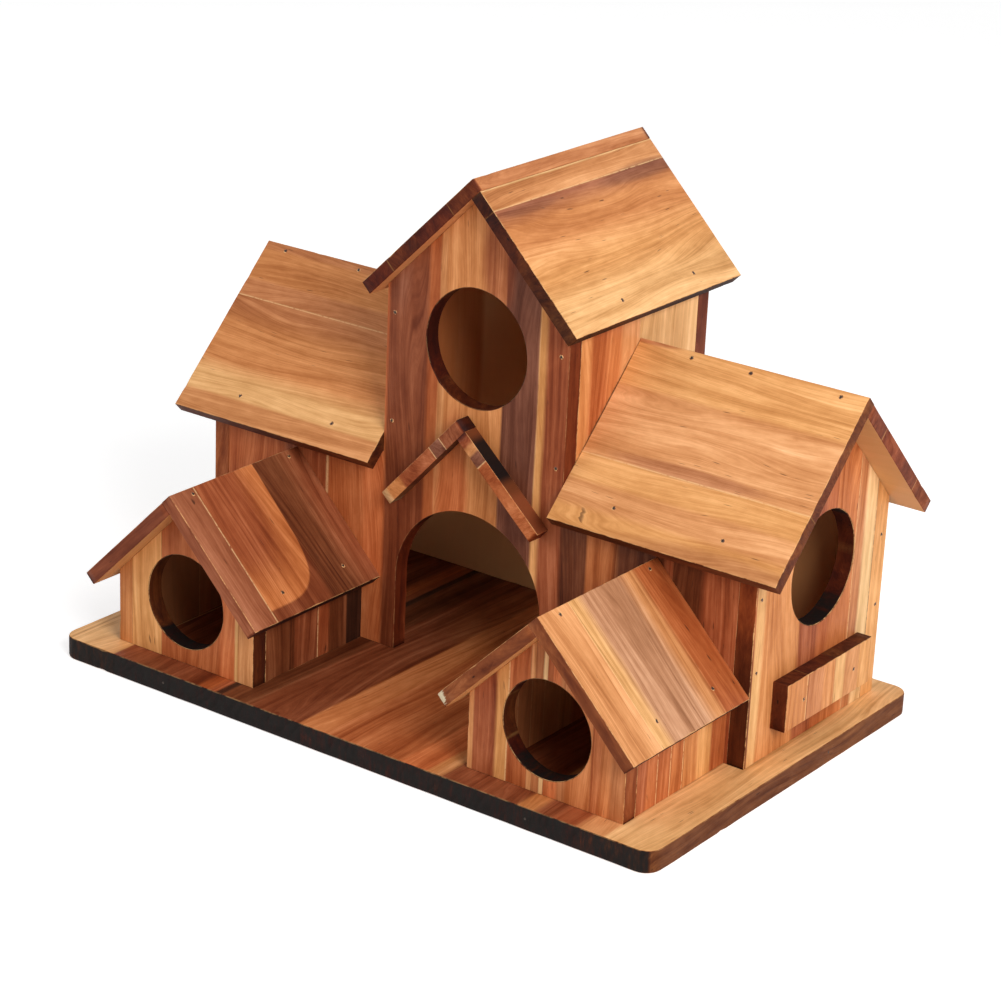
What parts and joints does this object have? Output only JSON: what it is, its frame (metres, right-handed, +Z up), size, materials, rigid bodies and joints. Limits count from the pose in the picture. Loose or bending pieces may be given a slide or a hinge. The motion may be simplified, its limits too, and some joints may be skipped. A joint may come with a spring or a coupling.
{
  "type": "hanging birdhouse",
  "caption": "Flame-browned wooden birdhouse like a small villa: a gabled tower with round entrance and arched doorway, cross wings and low front houses on one base board.",
  "frame": {"origin": "centre of the base board's underside, on the surface it stands on", "axes": "+X along the base board's long side, to the right of a viewer who faces the arched doorway; +Y from the doorway to the back; +Z up"},
  "size_m": [0.384, 0.245, 0.2815],
  "materials": {
    "base_wood": "flame-browned and lacquered, burnt edges",
    "wall_wood": "flame-browned and lacquered, upright grain",
    "roof_wood": "flame-browned and lacquered, burnt edges",
    "trim_wood": "flame-browned and lacquered, burnt edges",
    "brad_steel": "dark nail heads, flush with the wood"
  },
  "bodies": {
    "root": {"base_board": "base_wood", "front_wall": "wall_wood", "back_wall": "wall_wood", "tower_roof_left": "roof_wood", "tower_roof_right": "roof_wood", "canopy_left": "trim_wood", "canopy_right": "trim_wood", "brads": "brad_steel", "tower_side_left": "wall_wood", "left_wing_gable": "wall_wood", "left_wing_roof_front": "roof_wood", "left_wing_roof_back": "roof_wood", "left_wing_ledge": "trim_wood", "left_small_house_gable": "wall_wood", "left_small_house_side_left": "wall_wood", "left_small_house_side_right": "wall_wood", "left_small_house_roof_left": "roof_wood", "left_small_house_roof_right": "roof_wood", "tower_side_right": "wall_wood", "right_wing_gable": "wall_wood", "right_wing_roof_front": "roof_wood", "right_wing_roof_back": "roof_wood", "right_wing_ledge": "trim_wood", "right_small_house_gable": "wall_wood", "right_small_house_side_left": "wall_wood", "right_small_house_side_right": "wall_wood", "right_small_house_roof_left": "roof_wood", "right_small_house_roof_right": "roof_wood"}
  },
  "joints": []
}
